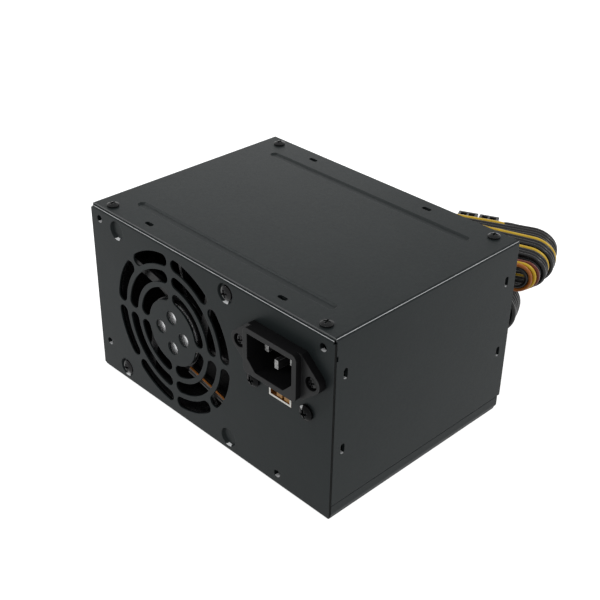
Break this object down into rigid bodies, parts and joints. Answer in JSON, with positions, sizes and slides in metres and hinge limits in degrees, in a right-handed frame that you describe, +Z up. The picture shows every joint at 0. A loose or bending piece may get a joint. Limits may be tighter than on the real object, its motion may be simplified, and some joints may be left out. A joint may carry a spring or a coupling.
{
  "type": "power supply unit",
  "caption": "Desktop computer power supply in a black sheet-metal case with a fan grille, mains inlet, voltage selector and folded output cables.",
  "frame": {"origin": "centre of the case's footprint, on the underside of the base pan", "axes": "+Z up; -Y out of the fan face, the face that shows at the back of a computer; +X to the right as seen from outside that face, along the case's longest side"},
  "size_m": [0.15, 0.1995, 0.0876],
  "materials": {
    "case_paint": "semi-gloss black paint",
    "black_screws": "black oxide",
    "fan_plastic": "satin black",
    "fan_foil": "plain silver foil",
    "bearing_bronze": "sintered",
    "winding": "enamelled",
    "bare_steel": "bright",
    "ferrite": "matte",
    "inlet_plastic": "fine grain",
    "selector_white": "satin",
    "slider_orange": "satin",
    "board": "paper laminate",
    "film": "translucent",
    "standoff_brass": "turned",
    "sink_aluminium": "extruded",
    "epoxy": "moulded",
    "core_wound": "taped",
    "capacitor_sleeve": "sleeve",
    "output_sleeve": "sleeve",
    "film_capacitor": "moulded box",
    "fuse_glass": "clear",
    "thermistor_coat": "dipped",
    "lead_orange": "insulation",
    "inlet_leads": "insulation",
    "selector_leads": "insulation",
    "grommet_rubber": "matte",
    "wire_black": "insulation",
    "wire_yellow": "insulation",
    "wire_orange": "insulation",
    "wire_red": "insulation",
    "tie_nylon": "nylon",
    "plug_nylon": "nylon"
  },
  "bodies": {
    "case": {"base_pan": "case_paint", "top_cover": "case_paint", "cover_screws": "black_screws", "fan_frame": "fan_plastic", "fan_screws": "black_screws", "fan_label": "fan_foil", "fan_bearing": "bearing_bronze", "fan_stator": "winding", "fan_lead": "lead_orange", "inlet_body": "inlet_plastic", "inlet_pins": "bare_steel", "inlet_screws": "black_screws", "inlet_nuts": "bare_steel", "selector_body": "selector_white", "selector_screws": "black_screws", "main_board": "board", "insulating_sheet": "film", "board_standoffs": "standoff_brass", "board_screws": "bare_steel", "primary_heatsink": "sink_aluminium", "secondary_heatsink": "sink_aluminium", "power_transistors": "epoxy", "output_rectifiers": "epoxy", "transistor_screws": "bare_steel", "main_transformer": "core_wound", "standby_transformer": "core_wound", "driver_transformer": "core_wound", "bulk_capacitors": "capacitor_sleeve", "output_capacitors": "output_sleeve", "output_toroid": "winding", "line_choke": "winding", "x_capacitor": "film_capacitor", "bridge_rectifier": "epoxy", "fuse": "fuse_glass", "thermistor": "thermistor_coat", "inlet_wires": "inlet_leads", "selector_wires": "selector_leads", "output_leads": "wire_black", "grommet": "grommet_rubber", "loom_12v": "wire_yellow", "loom_drive": "wire_orange", "loom_main": "wire_black", "hank_12v": "wire_yellow", "hank_drive": "wire_red", "hank_main": "wire_black", "cable_ties": "tie_nylon", "plug_12v": "plug_nylon", "plug_drive": "plug_nylon", "plug_main": "plug_nylon"},
    "rotor": {"fan_rotor": "fan_plastic", "fan_shaft": "bare_steel", "fan_magnet": "ferrite"},
    "slider": {"selector_slider": "slider_orange"}
  },
  "joints": [
    {"name": "fan_spin", "type": "hinge", "parent": "case", "child": "rotor", "pos_m": [-0.021, -0.04, 0.043], "axis": [0, -1, 0], "continuous": true},
    {"name": "selector_slide", "type": "slide", "parent": "case", "child": "slider", "axis": [1, 0, 0], "range_m": [-0.0028, 0]}
  ]
}
